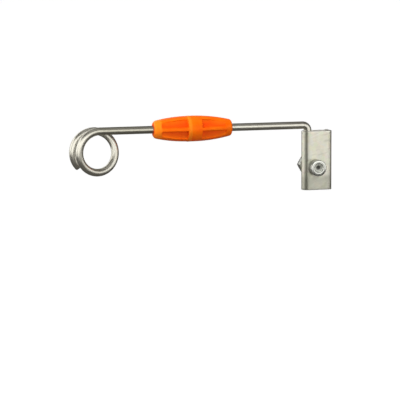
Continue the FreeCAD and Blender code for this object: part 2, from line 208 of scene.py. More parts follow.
def rear_length():
    """The rear rod's length along its centreline."""
    straight = REAR_HIGH.x - ROD_RADIUS - BEND_RADIUS - BARREL_CENTRE.x - ANCHOR_GAP / 2
    return straight + BEND_RADIUS * math.pi / 2 + ARM_Z - BEND_RADIUS - REAR_LOW.z


def rod_profile(length, step, end_rounding):
    """Stations along a rod and its radius at each: the upset anchor, the plain rod and the cut end."""
    chamfer = 0.0003
    anchor = [
        (0, ANCHOR_RADIUS - chamfer),
        (chamfer, ANCHOR_RADIUS),
        (ANCHOR_LENGTH - chamfer, ANCHOR_RADIUS),
        (ANCHOR_LENGTH, ANCHOR_RADIUS - chamfer),
        (ANCHOR_LENGTH + chamfer / 4, ROD_RADIUS),
    ]
    first, last = ANCHOR_LENGTH + chamfer, length - end_rounding
    plain = [(station, ROD_RADIUS) for station in np.linspace(first, last, int((last - first) / step))]
    end = []
    for part in np.linspace(0.2, 1, 5) * math.pi / 2:
        radius = ROD_RADIUS - end_rounding * (1 - math.cos(part))
        end.append((last + end_rounding * math.sin(part), radius))
    return np.array(anchor + plain + end)


def make_rod(name, path, length, step, end_rounding, shaded_to, replaced, material):
    """A round rod along a path, with painted shade up to a distance. Its UV map runs along it and around it.
    """
    sides = 48
    profile = rod_profile(length, step, end_rounding)
    stations, radii = profile[:, 0], profile[:, 1]
    nudge = 1e-5
    centres = path(stations)
    tangents = unit(path(stations + nudge) - path(stations - nudge))
    normals = np.zeros_like(tangents)
    normal = np.array([0.0, 1.0, 0.0])
    for row, tangent in enumerate(tangents):
        normal = normal - tangent * (normal @ tangent)
        normal /= np.linalg.norm(normal)
        normals[row] = normal
    sideways = np.cross(tangents, normals)
    angle = np.arange(sides) * TURN / sides
    out = np.cos(angle)[None, :, None] * normals[:, None] + np.sin(angle)[None, :, None] * sideways[:, None]
    points, faces = skin(centres[:, None] + radii[:, None, None] * out)
    piece = new_piece(name, points, faces, "arm", material, [replaced])

    uv = piece.data.uv_layers.new(name="wire")
    loops = np.zeros(len(piece.data.loops), int)
    piece.data.loops.foreach_get("vertex_index", loops)
    ring, side = loops // sides, loops % sides
    around = side * TURN * ROD_RADIUS / sides
    face_of_loop = np.repeat(np.arange(len(piece.data.polygons)), [p.loop_total for p in piece.data.polygons])
    highest = np.zeros(len(piece.data.polygons), int)
    np.maximum.at(highest, face_of_loop, side)
    closing = (highest[face_of_loop] == sides - 1) & (side == 0)
    around[closing] = TURN * ROD_RADIUS
    uv.data.foreach_set("uv", np.stack([stations[ring], around], -1).ravel().astype(np.float32))
    mark(piece, "cut_end", np.repeat(np.clip((stations - stations[-1]) / CUT_FADE + 1, 0, 1), sides))
    # Painted shade along the rod: full up to the given distance, then fading out.
    mark(piece, "arm_shade", np.repeat(np.clip((shaded_to - stations) / ARM_SHADE_FADE, 0, 1), sides))


# --- insulator -------------------------------------------------------------------------------------------

BARREL_HALF = (BARREL_HIGH.x - BARREL_LOW.x) / 2
LEFT_END = (-BARREL_HALF + 0.0024, 0.00715)
RIDGE_FOOT = (-0.0047, 0.0100)
BAND_START = (-0.0024, 0.0101)
RIGHT_END = (BARREL_HALF - 0.0016, 0.00665)
LEFT_ARC, RIGHT_ARC = 0.117, 0.130
RIDGE_RADIUS = 0.01015
RIB_HALF = 0.0013
POCKET_OUTER = 0.02615
POCKET_INNER = {-1: 0.0051, 1: 0.0062}
POCKET_LOW, POCKET_HIGH = 0.0053, 0.00765
POCKET_ARC = 0.120


def arc_height(x, start, end, radius):
    """The height at x of an arc that bulges upwards through two points."""
    start, end = np.array(start), np.array(end)
    chord = end - start
    length = math.hypot(*chord)
    down = np.array([chord[1], -chord[0]]) / length
    centre = (start + end) / 2 + down * math.sqrt(radius**2 - length**2 / 4)
    return centre[1] + np.sqrt(radius**2 - (x - centre[0]) ** 2)


def barrel_radius(x):
    """The barrel's radius at x, measured from its middle, without the raised ring."""
    left = arc_height(x, LEFT_END, RIDGE_FOOT, LEFT_ARC)
    right = arc_height(x, BAND_START, RIGHT_END, RIGHT_ARC)
    blend = np.clip((x - RIDGE_FOOT[0]) / (BAND_START[0] - RIDGE_FOOT[0]), 0, 1)
    return left * (1 - blend) + right * blend


def round_both(a, b, radius):
    """What is inside both of two distance fields, with a rounded edge."""
    edge = np.hypot(np.maximum(radius + a, 0), np.maximum(radius + b, 0))
    return np.minimum(-radius, np.maximum(a, b)) + edge


def round_either(a, b, radius):
    """What is inside either of two distance fields, with a filleted corner."""
    corner = np.hypot(np.maximum(radius - a, 0), np.maximum(radius - b, 0))
    return np.maximum(radius, np.minimum(a, b)) - corner


def insulator_field(x, y, z):
    """Signed distance to the moulding, roughly, about its own middle: negative inside."""
    outward = np.hypot(y, z)
    end_radius = np.where(x < 0, 0.0022, 0.0015)
    body = round_both(outward - barrel_radius(x), np.abs(x) - BARREL_HALF, end_radius)
    ridge_middle, ridge_half = (RIDGE_FOOT[0] + BAND_START[0]) / 2, (BAND_START[0] - RIDGE_FOOT[0]) / 2
    ridge = round_both(outward - RIDGE_RADIUS, np.abs(x - ridge_middle) - ridge_half, 0.0003)
    body = round_either(body, ridge, 0.0003)

    depth, height = np.abs(y), np.abs(z)
    draft = 0.03 * (depth - CORE_HALF)
    reach = np.abs(x)
    inner = np.where(x < 0, POCKET_INNER[-1], POCKET_INNER[1])
    rim = arc_height(reach, (0.0057, POCKET_HIGH), (POCKET_OUTER, POCKET_LOW), POCKET_ARC)
    floor = CORE_HALF - depth
    lengthwise = round_both(inner - draft - reach, reach - POCKET_OUTER - draft, 0.0005)
    upright = round_both(RIB_HALF - draft - height, height - rim - draft, 0.0004)
    pocket = round_both(round_both(lengthwise, upright, 0.0007), floor, 0.0006)
    body = round_both(body, -pocket, 0.00025)

    bore = outward - ROD_RADIUS
    return round_both(body, -round_both(bore, ANCHOR_GAP / 2 - reach, 0.0002), 0.0003)


def surface_nets(field):
    """Points, in grid steps, and quads of the surface where a field of numbers changes sign."""
    shape = np.array(field.shape) - 1
    totals, counts = np.zeros((*shape, 3)), np.zeros(shape)
    crossings = []
    for axis in range(3):
        low = np.take(field, range(shape[axis]), axis)
        high = np.take(field, range(1, shape[axis] + 1), axis)
        where = np.argwhere((low < 0) != (high < 0))
        here, there = low[tuple(where.T)], high[tuple(where.T)]
        points = where.astype(float)
        points[:, axis] += here / (here - there)
        others = [other for other in range(3) if other != axis]
        cells = []
        for shift in ((0, 0), (1, 0), (1, 1), (0, 1)):
            cell = where.copy()
            cell[:, others] -= shift
            cells.append(cell)
            np.add.at(totals, tuple(cell.T), points)
            np.add.at(counts, tuple(cell.T), 1)
        crossings.append(cells)
    used = counts > 0
    number = np.full(shape, -1)
    number[used] = np.arange(used.sum())
    quads = [np.stack([number[tuple(cell.T)] for cell in cells], -1) for cells in crossings]
    return totals[used] / counts[used][:, None], np.concatenate(quads)


def settle(points, field, rounds=4):
    """Move points onto the surface where a field is zero."""
    nudge = 2e-5
    for _ in range(rounds):
        value = field(*points.T)
        slope = np.stack([
            (field(*(points + step).T) - field(*(points - step).T)) / (2 * nudge)
            for step in np.eye(3) * nudge
        ], -1)
        steepness = np.maximum((slope**2).sum(-1), 0.2)
        points = points - (np.clip(value / steepness, -2e-4, 2e-4))[:, None] * slope
    return points


def make_insulator(material):
    """The moulding, with its pockets, ribs and raised ring, as one smooth surface."""
    step = 0.00030
    margin = 3 * step
    reach = np.array([BARREL_HALF, RIDGE_RADIUS, RIDGE_RADIUS]) + margin
    axes = [np.arange(-size - step / 2, size + step, step) for size in reach]
    grid = np.meshgrid(*axes, indexing="ij")
    points, quads = surface_nets(insulator_field(*grid))
    points = settle(points * step + [axis[0] for axis in axes], insulator_field)
    placed = points + np.array(BARREL_CENTRE)
    piece = new_piece(
        "insulator_moulding", placed, quads.tolist(), "arm", material, ["insulator_body"]
    )
    x, outward = points[:, 0], np.hypot(*points[:, 1:].T)
    # Painted shade in the pockets, by how far they lie below the barrel's skin.
    mark(piece, "recess_shade", np.clip((barrel_radius(x) - outward) / RECESS_SHADE_FADE, 0, 1))
    # Painted highlight on the raised ring and the left-hand collar, paler as if lit.
    on_ridge = (np.abs(x - (RIDGE_FOOT[0] + BAND_START[0]) / 2) < 0.0013) & (outward > RIDGE_RADIUS - 0.0001)
    on_collar = np.clip((-x - BARREL_HALF + 0.0062) / 0.0012, 0, 1) * (outward > 0.005)
    mark(piece, "painted_highlight", np.maximum(on_ridge, on_collar))


def make_seam(material):
    """The mould's parting line: a fine raised line round the barrel where the front and back halves met."""
    bead, sunk = 0.0001, 0.00006
    x = np.linspace(-BARREL_HALF + 0.0009, BARREL_HALF - 0.0006, 160)
    section = np.arange(8)[None, :, None] * TURN / 8
    for side, name in ((1, "seam_top"), (-1, "seam_bottom")):
        reach = np.array([surface_height(place) for place in x]) - sunk
        centres = np.stack([x, np.zeros_like(x), side * reach], -1) + np.array(BARREL_CENTRE)
        slope = np.gradient(side * reach, x)
        tangents = unit(np.stack([np.ones_like(x), np.zeros_like(x), slope], -1))
        up = np.cross(tangents, [0, 1, 0])
        round_it = np.cos(section) * np.array([0, 1, 0]) + np.sin(section) * up[:, None]
        rings = centres[:, None] + bead * round_it
        points, faces = skin(rings)
        seam = new_piece(name, points, faces, "arm", material)
        # The seam: no painted shade, and a faint painted highlight.
        mark(seam, "recess_shade", np.zeros(len(points)))
        mark(seam, "painted_highlight", np.full(len(points), 0.4))


def surface_height(x):
    """How far above the barrel's axis its surface is at x, found by halving."""
    low, high = 0.0035, RIDGE_RADIUS + 0.001
    for _ in range(24):
        middle = (low + high) / 2
        inside = insulator_field(np.array(x), np.array(0.0), np.array(middle)) < 0
        low, high = (middle, high) if inside else (low, middle)
    return low


# --- clamp -----------------------------------------------------------------------------------------------

FOLD_RADIUS = ROD_RADIUS + 0.00005 + STRAP_THICKNESS / 2  # at the middle of the sheet
LIP_BEND = 0.004 - STRAP_THICKNESS / 2
HOLE_RADIUS = 0.00412
REAR_LEAF_END = 0.0115
LEG_X = CLAMP_LOW.x + FOLD_RADIUS + STRAP_THICKNESS / 2
CORNER_ROUND = 0.0012
COLUMN_SPACING = 0.0012
COLUMN_TURN = math.radians(5)
# Where on the fold round the rod's leg the painted shade sits, and how far it spreads.
FOLD_SHADE_ANGLE = math.radians(33)
FOLD_SHADE_SPREAD = 0.0016
WEAR_REACH = 0.0011
# A triangle is dropped from a hole if its middle is nearer the hole's centre than this share of its radius.
# So slivers stay just inside the hole's edge.
HOLE_SHARE = 0.99
CLAMP_FOLD_Y = -STRAP_THICKNESS / 2 - FOLD_RADIUS

# The strip's straight and bent runs in order: length, and the bend's turn.
STRIP = [
    (REAR_LEAF_END - LEG_X, 0),
    (FOLD_RADIUS * math.pi, math.pi),
    (CLAMP_HIGH.x - STRAP_THICKNESS / 2 - LIP_BEND - LEG_X, 0),
    (LIP_BEND * math.pi / 2, math.pi / 2),
    (CLAMP_HIGH.y - CLAMP_LOW.y - STRAP_THICKNESS / 2 - LIP_BEND, 0),
]
STRIP_LENGTH = sum(run[0] for run in STRIP)


def fold(flat, lift):
    """Fold points of the flat strip, (distance along, height), into the clamp, lift above its middle."""
    along, height = flat[:, 0], flat[:, 1]
    x, y = np.full_like(along, REAR_LEAF_END), np.full_like(along, -STRAP_THICKNESS / 2)
    heading = np.full_like(along, math.pi)
    left = along.copy()
    for length, turn in STRIP:
        part = np.clip(left, 0, length)
        if turn:
            radius = length / turn
            angle = part / radius
            x += radius * (np.sin(heading + angle) - np.sin(heading))
            y -= radius * (np.cos(heading + angle) - np.cos(heading))
            heading = heading + angle
        else:
            x += part * np.cos(heading)
            y += part * np.sin(heading)
        left = left - part
    out = np.stack([np.sin(heading), -np.cos(heading), np.zeros_like(x)], -1)
    return np.stack([x, y, height], -1) + out * np.asarray(lift).reshape(-1, 1)


def strip_columns():
    """Distances along the strip where its mesh has a column: close together in the bends."""
    columns, start = [], 0.0
    for length, turn in STRIP:
        steps = max(round(turn / COLUMN_TURN if turn else length / COLUMN_SPACING), 1)
        columns += [start + length / steps * step for step in range(steps)]
        start += length
    return np.array(columns[1:])


def strip_outline(inset):
    """The flat strip's outline, moved inwards by inset, always with the same number of points."""
    low, high = CLAMP_LOW.z, CLAMP_HIGH.z
    clear = CORNER_ROUND * 1.2
    columns = strip_columns()
    columns = columns[(columns > clear) & (columns < STRIP_LENGTH - clear)]
    rows = np.linspace(low + clear, high - clear, 36)
    radius = CORNER_ROUND - inset
    corner = []
    for number, (x, z) in enumerate((
        (STRIP_LENGTH - CORNER_ROUND, low + CORNER_ROUND),
        (STRIP_LENGTH - CORNER_ROUND, high - CORNER_ROUND),
        (CORNER_ROUND, high - CORNER_ROUND),
        (CORNER_ROUND, low + CORNER_ROUND),
    )):
        angle = np.linspace(0, math.pi / 2, 8) + (number - 1) * math.pi / 2
        corner.append(np.stack([x + radius * np.cos(angle), z + radius * np.sin(angle)], -1))
    bottom = np.stack([columns, np.full_like(columns, low + inset)], -1)
    top = np.stack([columns[::-1], np.full_like(columns, high - inset)], -1)
    right = np.stack([np.full_like(rows, STRIP_LENGTH - inset), rows], -1)
    left = np.stack([np.full_like(rows, inset), rows[::-1]], -1)
    return np.concatenate([bottom, corner[0], right, corner[1], top, corner[2], left, corner[3]])


def hole_outline(number, inset):
    """One of the strip's two screw holes, widened by inset."""
    centre = REAR_LEAF_END if number == 0 else STRIP[0][0] + STRIP[1][0] - LEG_X
    angle = np.arange(72) * TURN / 72
    radius = HOLE_RADIUS + inset
    return np.stack([centre + radius * np.cos(angle), radius * np.sin(angle)], -1)


def flat_triangles(loops):
    """Triangulate the strip inside its outline and outside its holes. Returns points and triangles."""
    rows = np.linspace(CLAMP_LOW.z, CLAMP_HIGH.z, 38)[1:-1]
    inner = np.array([(column, row) for column in strip_columns() for row in rows])
    spare = 0.0004
    edge_low, edge_high = loops[0].min(0) + spare, loops[0].max(0) - spare
    keep = ((inner > edge_low) & (inner < edge_high)).all(1)
    holes = [(loop.mean(0), np.hypot(*(loop[0] - loop.mean(0)))) for loop in loops[1:]]
    for centre, radius in holes:
        keep &= np.hypot(*(inner - centre).T) > radius + spare
    points = np.concatenate([*loops, inner[keep]])
    edges, start = [], 0
    for loop in loops:
        count = len(loop)
        edges += [(start + step, start + (step + 1) % count) for step in range(count)]
        start += count
    _, _, faces, origins, _, _ = delaunay_2d_cdt([Vector(point) for point in points], edges, [], 1, 1e-7)
    place = [origin[0] for origin in origins]
    kept = []
    for face in faces:
        corners = [place[corner] for corner in face]
        middle = points[corners].mean(0)
        if all(np.hypot(*(middle - centre)) > radius * HOLE_SHARE for centre, radius in holes):
            kept.append(corners)
    return points, kept


def make_clamp(material):
    """The clamp: a flat blank with sheared edges, folded round the rod's leg and over the post's edge."""
    rollover, burr = 0.00035, 0.00012
    half = STRAP_THICKNESS / 2
    quarter = np.linspace(0, math.pi / 2, 4)
    levels = [(rollover * (1 - math.sin(a)), half - rollover * (1 - math.cos(a))) for a in quarter]
    levels += [(burr * (1 - math.cos(a)), -half + burr * (1 - math.sin(a))) for a in quarter[:-1]]
    levels.append((burr, -half))

    def loops_at(inset):
        return [strip_outline(inset), hole_outline(0, inset), hole_outline(1, inset)]

    top_points, top_faces = flat_triangles(loops_at(rollover))
    low_points, low_faces = flat_triangles(loops_at(burr))
    loop_total = sum(len(loop) for loop in loops_at(0))
    blocks, wears = [fold(top_points, np.full(len(top_points), half))], [edge_wear(top_points)]
    faces = [list(face) for face in top_faces]
    starts = [0]
    total = len(top_points)
    for inset, lift in levels[1:-1]:
        loop = np.concatenate(loops_at(inset))
        blocks.append(fold(loop, np.full(len(loop), lift)))
        wears.append(np.ones(len(loop)))
        starts.append(total)
        total += len(loop)
    starts.append(total)
    blocks.append(fold(low_points, np.full(len(low_points), -half)))
    wears.append(edge_wear(low_points))
    faces += [[corner + total for corner in face] for face in low_faces]

    after = np.arange(loop_total)
    begin = 0
    for loop in loops_at(0):
        count = len(loop)
        after[begin:begin + count] = begin + (np.arange(count) + 1) % count
        begin += count
    for upper, lower in zip(starts, starts[1:]):
        faces += np.stack([
            upper + np.arange(loop_total), upper + after, lower + after, lower + np.arange(loop_total)
        ], -1).tolist()
    piece = new_piece(
        "clamp_sheet", np.concatenate(blocks), faces, "clamp", material, ["clamp_strap"]
    )
    mark(piece, "wear", np.concatenate(wears))
    # Painted shade: a dark band on the fold, centred at this angle round the bend.
    fold_x = LEG_X + FOLD_RADIUS * math.sin(-FOLD_SHADE_ANGLE)
    fold_y = CLAMP_FOLD_Y - FOLD_RADIUS * math.cos(FOLD_SHADE_ANGLE)
    off_fold_shade = np.hypot(*(np.concatenate(blocks)[:, :2] - (fold_x, fold_y)).T)
    mark(piece, "fold_shade", np.exp(-((off_fold_shade / FOLD_SHADE_SPREAD) ** 2)))


def edge_wear(flat):
    """From 1 at the flat strip's edges to 0 away from them."""
    low, high = CLAMP_LOW.z, CLAMP_HIGH.z
    near = np.minimum.reduce([flat[:, 0], STRIP_LENGTH - flat[:, 0], flat[:, 1] - low, high - flat[:, 1]])
    for number in (0, 1):
        centre = hole_outline(number, 0).mean(0)
        near = np.minimum(near, np.hypot(*(flat - centre).T) - HOLE_RADIUS)
    return np.clip(1 - near / WEAR_REACH, 0, 1)


# --- screw set -------------------------------------------------------------------------------------------

SIDES = 144
AROUND = np.arange(SIDES) * TURN / SIDES
SOCKET_ACROSS = 0.006
SOCKET_DEPTH = 0.0035
FACE_RADIUS = 0.0053
EDGE_DROP = 0.00022
KNURL_DEPTH = 0.00016
THREAD_DEPTH = 0.00064
NUT_ACROSS = 0.013
NUT_CORNER_RADIUS = 0.00742
NUT_FACE_RADIUS = 0.00625
COUNTERSINK_RADIUS = 0.0046
# Where the painted shade at the bottom of the screw's socket is centred, off its axis.
SOCKET_SHADE_PLACE = (0.0007, 0.0003)


def ring(radius, y):
    """A ring about the screw's axis: radius and y may differ from point to point."""
    radius, y = np.broadcast_to(radius, SIDES), np.broadcast_to(y, SIDES)
    return np.stack([radius * np.cos(AROUND), y, -radius * np.sin(AROUND)], -1)


def hexagon(width):
    """A hexagon's radius at each of the ring's points, width across its flats."""
    sixth = TURN / 6
    return width / 2 / np.cos(AROUND % sixth - sixth / 2)


def thread_radius(y, crest, root):
    """The radius of a right-hand V thread at each of the ring's points."""
    phase = (y / THREAD_PITCH - AROUND / TURN) % 1
    climb = np.abs(phase * 2 - 1)
    return root + (crest - root) * np.clip((climb - 0.15) / 0.68, 0, 1)


def rounded(corners, radius, steps=4):
    """A closed outline of (radius, y) corners with each corner rounded."""
    corners = np.array(corners, float)
    outline = []
    for number, corner in enumerate(corners):
        before, after = corners[number - 1], corners[(number + 1) % len(corners)]
        size = radius if np.isscalar(radius) else radius[number]
        start = corner + unit(before - corner) * size
        end = corner + unit(after - corner) * size
        for part in np.linspace(0, 1, steps):
            outline.append((1 - part) ** 2 * start + 2 * part * (1 - part) * corner + part**2 * end)
    return outline


def make_screw(material):
    """The socket head cap screw: hexagon socket, knurled head and a rolled thread down to its point."""
    top, seat, tip = SCREW_LOW.y, SCREW_LOW.y + HEAD_LENGTH, SCREW_HIGH.y
    socket = hexagon(SOCKET_ACROSS)
    knurl = np.where(np.arange(SIDES) % 3 == 0, -KNURL_DEPTH, 0.0)
    rings = [
        ring(0.0001, top + 0.0044),
        ring(0.0006, top + 0.0042),
        ring(0.0012, top + 0.0039),
        ring(0.0018, top + 0.0036),
        ring(0.0021, top + SOCKET_DEPTH),
        ring(0.0025, top + SOCKET_DEPTH),
        ring(np.minimum(socket, SOCKET_ACROSS / 2) * 0.98, top + SOCKET_DEPTH),
        ring(socket - 0.00002, top + SOCKET_DEPTH - 0.0001),
        ring(socket, top + 0.0006),
        ring(np.maximum(socket + 0.00012, 0.00345), top + 0.00030),
        ring(0.00378, top + 0.00005),
        ring(0.0039, top),
        ring(0.0047, top),
        ring(0.0049, top + 0.00003),
        ring(FACE_RADIUS, top + EDGE_DROP),
    ]
    for part in np.linspace(0.15, 1, 5):
        across, along = math.sin(part * math.pi / 2), 1 - math.cos(part * math.pi / 2)
        rings.append(ring(FACE_RADIUS + 0.00118 * across, top + EDGE_DROP + 0.00068 * along))
    for y, share in ((0.0009, 0), (0.0012, 1), (0.0040, 1), (0.0071, 1), (0.0074, 0)):
        rings.append(ring(HEAD_RADIUS - 0.00003 + knurl * share, top + y))
    rings += [ring(HEAD_RADIUS - 0.00003, seat - 0.0002), ring(HEAD_RADIUS - 0.0002, seat)]
    rings += [ring(0.0046, seat), ring(SCREW_RADIUS + 0.00006, seat)]
    rings.append(ring(SCREW_RADIUS - 0.0002, seat + 0.0004))
    start, end = seat + 0.0010, tip - 0.0004
    crest = SCREW_RADIUS - 0.00002
    for y in np.linspace(start, end, int((end - start) / (THREAD_PITCH / 9))):
        fade = min((y - start) / 0.0012, 1)
        point = SCREW_RADIUS - max(0, y - (tip - 0.0010)) * 0.9
        cut = thread_radius(y, crest, crest - THREAD_DEPTH)
        rings.append(ring(np.minimum(cut * fade + (SCREW_RADIUS - 0.0002) * (1 - fade), point), y))
    rings += [ring(0.0031, tip), ring(0.0001, tip)]
    points, faces = skin(rings)
    piece = new_piece("socket_screw", points, faces, "screw", material, ["cap_screw"])
    # Grime on the head, and painted shade at the bottom of the socket.
    mark(piece, "grime_and_shade", head_grime_and_shade(points))
    depth, off_axis = points[:, 1] - top, np.hypot(points[:, 0], points[:, 2])
    in_socket = (off_axis < 0.0036) & (depth > 0.0005) & (depth < HEAD_LENGTH - 0.0003)
    mark(piece, "dust", np.where(in_socket, 1.0, 0.0))


def head_grime_and_shade(points):
    """Grime and painted shade at points of the screw: a painted dark spot at the bottom of the socket, set
    off its axis, a turned groove in the face, and the knurl.
    """
    depth, off_axis = points[:, 1] - SCREW_LOW.y, np.hypot(points[:, 0], points[:, 2])
    off_socket_shade = np.hypot(points[:, 0] - SOCKET_SHADE_PLACE[0], points[:, 2] - SOCKET_SHADE_PLACE[1])
    in_head = depth < HEAD_LENGTH - 0.0003
    knurled = in_head & (depth > 0.0010) & (off_axis > 0.0060)
    valley = knurled & (off_axis < HEAD_RADIUS - 0.0001) & (off_axis > 0.0062)
    groove = (depth < 0.0001) & (off_axis > 0.0046) & (off_axis < 0.0050)
    # Painted shade: a dark spot at the bottom of the socket, off its axis.
    socket_shade = np.where(in_head & (depth > 0.003), np.clip((0.0022 - off_socket_shade) / 0.0009, 0, 1), 0.0)
    return socket_shade + 0.4 * groove + 0.35 * knurled + 0.3 * valley


def make_flat_washer(material):
    """The stamped flat washer: rolled over on one face, with a fine burr on the other."""
    low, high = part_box("flat_washer")
    bore, outer = 0.0042, high.x - 0.00001
    corners = [(bore, low.y), (outer, low.y), (outer, high.y), (bore, high.y)]
    outline = rounded(corners, [0.0001, 0.0003, 0.0001, 0.0003])
    points, faces = skin([ring(radius, y) for radius, y in outline], wrap=True)
    new_piece("plain_washer", points, faces, "flat_washer", material, ["flat_washer"])


def make_spring_washer(material):
    """The split spring washer, pressed flat, with its slanted cut on the +X side."""
    low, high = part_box("spring_washer")
    bore, outer = 0.00412, high.x - 0.00002
    half_gap, lean = 0.00045, 0.00045
    middle, half = (low.y + high.y) / 2, (high.y - low.y) / 2
    outline = np.array(rounded(
        [(bore, low.y), (outer, low.y + 0.00008), (outer, high.y - 0.00008), (bore, high.y)], 0.0003
    ))
    radius, y = outline[:, 0], outline[:, 1]
    rings = []
    for part in np.linspace(0, 1, 140):
        gap = half_gap / radius
        angle = gap + part * (TURN - 2 * gap) - lean * (y - middle) / half / radius
        rings.append(np.stack([radius * np.cos(angle), y, -radius * np.sin(angle)], -1))
    points, faces = skin(rings)
    new_piece("split_washer", points, faces, "spring_washer", material, ["spring_washer"])


def make_nut(material):
    """The hexagon nut: corners turned off in arcs at both faces, countersunk and threaded bore."""
    low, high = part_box("hex_nut")
    sides = np.minimum(hexagon(NUT_ACROSS), NUT_CORNER_RADIUS)
    face = NUT_FACE_RADIUS
    drop = np.maximum((sides - face) * math.tan(math.radians(30)), 0.00005)
    bore, root = SCREW_RADIUS + 0.00006, SCREW_RADIUS + 0.0004
    half_section = [
        (COUNTERSINK_RADIUS, 0),
        (face - 0.0001, 0),
        (face, 0.00003),
        (sides - 0.00003, drop),
        (sides, drop + 0.0001),
    ]
    rings = [ring(radius, low.y + inwards) for radius, inwards in half_section]
    rings += [ring(radius, high.y - inwards) for radius, inwards in reversed(half_section)]
    for y in np.linspace(high.y - 0.0005, low.y + 0.0005, 50):
        rings.append(ring(thread_radius(y, bore, root), y))
    points, faces = skin(rings, wrap=True)
    piece = new_piece("thread_nut", points, faces, "nut", material, ["hex_nut"])
    mark(piece, "grime_and_shade", np.where(np.hypot(points[:, 0], points[:, 2]) < 0.0045, 0.6, 0))


# --- materials -------------------------------------------------------------------------------------------

class Paint:
    """One node material under construction, with its surface shader."""

    def __init__(self, name):
        self.material = bpy.data.materials.new(name)
        self.material.use_nodes = True
        self.nodes = self.material.node_tree.nodes
        self.links = self.material.node_tree.links
        self.shader = self.nodes["Principled BSDF"]

    def add(self, kind, settings=None, **inputs):
        """Add a node. Inputs are values or other nodes' outputs, by socket name with _ for a space."""
        node = self.nodes.new("ShaderNode" + kind)
        for name, value in (settings or {}).items():
            setattr(node, name, value)
        for name, value in inputs.items():
            self.join(node, name.replace("_", " "), value)
        return node

    def join(self, node, socket, value):
        """Set one input of a node, or link an output to it."""
        if isinstance(value, bpy.types.NodeSocket):
            self.links.new(value, node.inputs[socket])
        else:
            node.inputs[socket].default_value = value

    def set(self, **inputs):
        """Set or link inputs of the surface shader."""
        for name, value in inputs.items():
            self.join(self.shader, name.replace("_", " "), value)

    def place(self, stretch=(1, 1, 1), turn=(0, 0, 0), uv=None):
        """Coordinates in metres on the piece, turned and then stretched."""
        if uv:
            source = self.add("UVMap", {"uv_map": uv}).outputs["UV"]
        else:
            source = self.add("TexCoord").outputs["Object"]
        turned = self.add("Mapping", Vector=source, Rotation=turn).outputs["Vector"]
        return self.add("Mapping", Vector=turned, Scale=stretch).outputs["Vector"]

    def noise(self, place, scale, detail=3.0, roughness=0.5, distortion=0.0):
        """A soft noise, about 0.5 on average."""
        node = self.add("TexNoise", Vector=place, Scale=scale, Detail=detail, Roughness=roughness)
        self.join(node, "Distortion", distortion)
        return node.outputs["Fac"]

    def spread(self, value, low, high, to_low=0.0, to_high=1.0):
        """Map a number from one range to another."""
        inputs = {"From Min": low, "From Max": high, "To Min": to_low, "To Max": to_high}
        node = self.add("MapRange")
        self.join(node, "Value", value)
        for name, number in inputs.items():
            self.join(node, name, number)
        return node.outputs["Result"]

    def blend(self, share, first, second, how="MIX"):
        """Mix two colours."""
        node = self.add("Mix", {"data_type": "RGBA", "blend_type": how})
        self.join(node, 0, share)
        for socket, colour in ((6, first), (7, second)):
            self.join(node, socket, colour)
        return node.outputs[2]

    def maths(self, how, first, second):
        """Combine two numbers."""
        node = self.add("Math", {"operation": how})
        self.join(node, 0, first)
        self.join(node, 1, second)
        return node.outputs[0]

    def read(self, name):
        """A number stored on the piece's points."""
        return self.add("Attribute", {"attribute_name": name}).outputs["Fac"]

    def relief(self, height, distance, strength=1.0, under=None):
        """A bump, its height in metres."""
        node = self.add("Bump", Height=height, Distance=distance, Strength=strength)
        if under is not None:
            self.join(node, "Normal", under)
        return node.outputs["Normal"]


def drawn_steel():
    """Satin drawn wire: fine lines along the rod, warm patches, painted shade that darkens the front rod's
    arm, and a brighter sheared end.
    """
    paint = Paint("drawn_steel")
    lines = paint.noise(paint.place((60, 2600, 1), uv="wire"), 1.0, 4.0, 0.6)
    patches = paint.noise(paint.place((90, 160, 1), uv="wire"), 1.0, 3.0)
    specks = paint.noise(paint.place(), 2200.0, 2.0)
    colour = paint.blend(lines, (0.60, 0.58, 0.50, 1), (0.74, 0.72, 0.63, 1))
    colour = paint.blend(paint.spread(patches, 0.5, 0.75, 0, 0.35), colour, (0.50, 0.44, 0.33, 1))
    # Painted shade: the front rod's arm darkened, as if less lit, from its end in the insulator into the
    # coil.
    colour = paint.blend(paint.spread(paint.read("arm_shade"), 0, 1, 0, 0.6), colour, (0.37, 0.355, 0.27, 1))
    colour = paint.blend(paint.read("cut_end"), colour, (0.68, 0.67, 0.65, 1))
    satin, speckle = paint.spread(lines, 0.3, 0.7, 0.25, 0.36), paint.spread(specks, 0.4, 0.7, 0, 0.05)
    rough = paint.maths("ADD", satin, speckle)
    paint.set(Base_Color=colour, Metallic=1.0, Roughness=rough)
    fine = paint.relief(lines, 0.00002, 0.5)
    paint.set(Normal=paint.relief(specks, 0.00001, 0.35, fine))
    return paint.material


def orange_plastic():
    """Orange moulding: orange-peel skin, flow marks, painted shade that deepens the pockets, and a painted
    highlight that pales the ridge, collar and seam.
    """
    paint = Paint("orange_plastic")
    peel = paint.noise(paint.place(), 900.0, 2.0)
    flow = paint.noise(paint.place((60, 240, 240)), 1.0, 3.0, 0.5, 0.4)
    cloud = paint.noise(paint.place(), 120.0, 2.0)
    colour = paint.blend(paint.spread(cloud, 0.35, 0.65), (1.0, 0.122, 0.001, 1), (1.0, 0.160, 0.002, 1))
    colour = paint.blend(paint.spread(flow, 0.5, 0.75, 0, 0.35), colour, (1.0, 0.205, 0.004, 1))
    # Painted shade: the pockets darkened to a deep red by their depth.
    sunk = paint.spread(paint.read("recess_shade"), 0.2, 0.9, 0, 0.5)
    colour = paint.blend(sunk, colour, (0.84, 0.042, 0.0005, 1))
    # Painted highlight: the ridge, collar and seam paled towards yellow-orange.
    colour = paint.blend(paint.maths("MULTIPLY", paint.read("painted_highlight"), 0.6), colour, (1.0, 0.27, 0.015, 1))
    paint.set(
        Base_Color=colour,
        Roughness=paint.spread(flow, 0.3, 0.7, 0.34, 0.44),
        Specular_IOR_Level=0.35,
        Specular_Tint=(1.0, 0.5, 0.15, 1),
        Normal=paint.relief(peel, 0.00005, 0.25),
    )
    return paint.material


